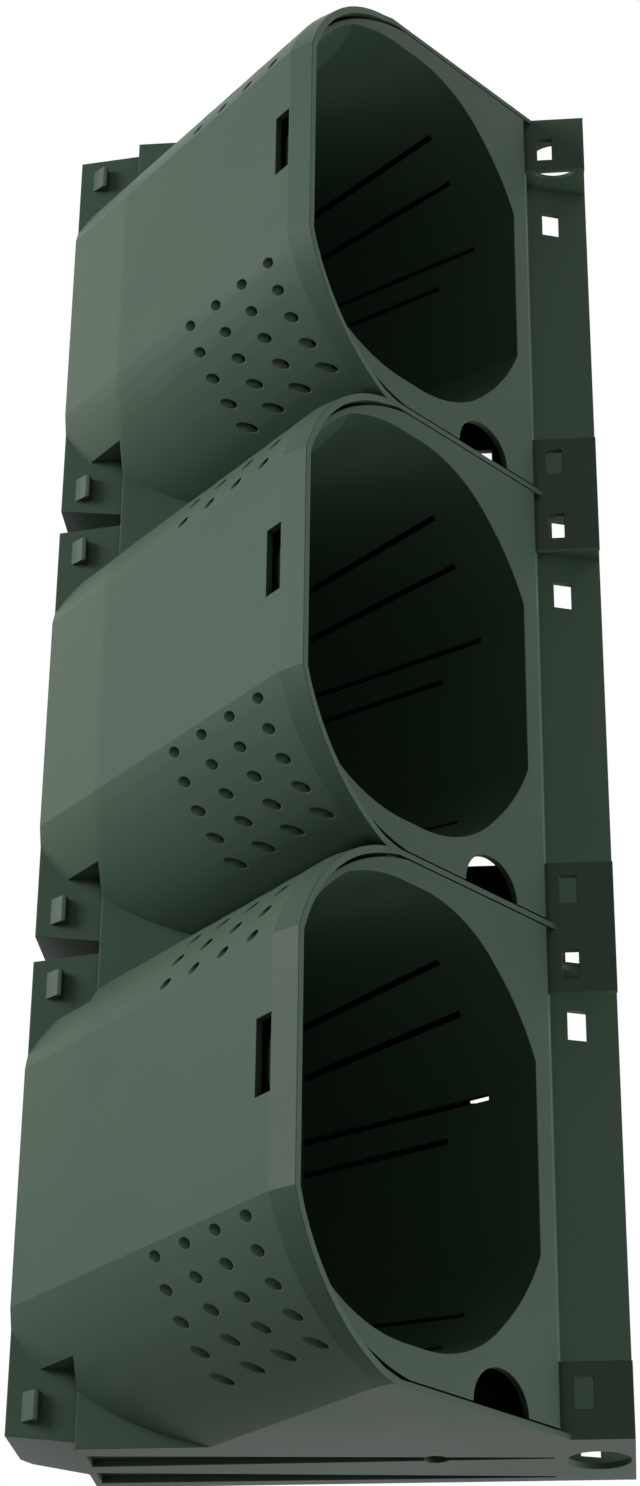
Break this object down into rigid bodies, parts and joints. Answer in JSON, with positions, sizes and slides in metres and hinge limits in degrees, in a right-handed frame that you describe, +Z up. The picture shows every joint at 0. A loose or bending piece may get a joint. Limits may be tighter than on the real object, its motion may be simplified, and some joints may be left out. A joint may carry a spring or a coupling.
{
  "type": "self-watering wall planter",
  "caption": "Wall planter module with slanted pockets in a row, lift-out liners with wicks over a water reservoir, and a channel and blocks that stack onto like units.",
  "frame": {"origin": "middle of the flat back wall below the back openings, on the face that bears on the wall", "axes": "+X along the row to the right as seen from the room, +Y into the wall, +Z up"},
  "size_m": [0.4816, 0.1406, 0.183],
  "materials": {
    "shell": "satin",
    "liner": "satin",
    "wick": "felt"
  },
  "bodies": {
    "shell": {"outer_shell": "shell"},
    "pot_left": {"liner_left": "liner", "wick_left": "wick"},
    "pot_middle": {"liner_middle": "liner", "wick_middle": "wick"},
    "pot_right": {"liner_right": "liner", "wick_right": "wick"}
  },
  "joints": [
    {"name": "lift_left", "type": "slide", "parent": "shell", "child": "pot_left", "axis": [0, -0.5664, 0.8241], "range_m": [0, 0.2]},
    {"name": "lift_middle", "type": "slide", "parent": "shell", "child": "pot_middle", "axis": [0, -0.5664, 0.8241], "range_m": [0, 0.2]},
    {"name": "lift_right", "type": "slide", "parent": "shell", "child": "pot_right", "axis": [0, -0.5664, 0.8241], "range_m": [0, 0.2]}
  ]
}
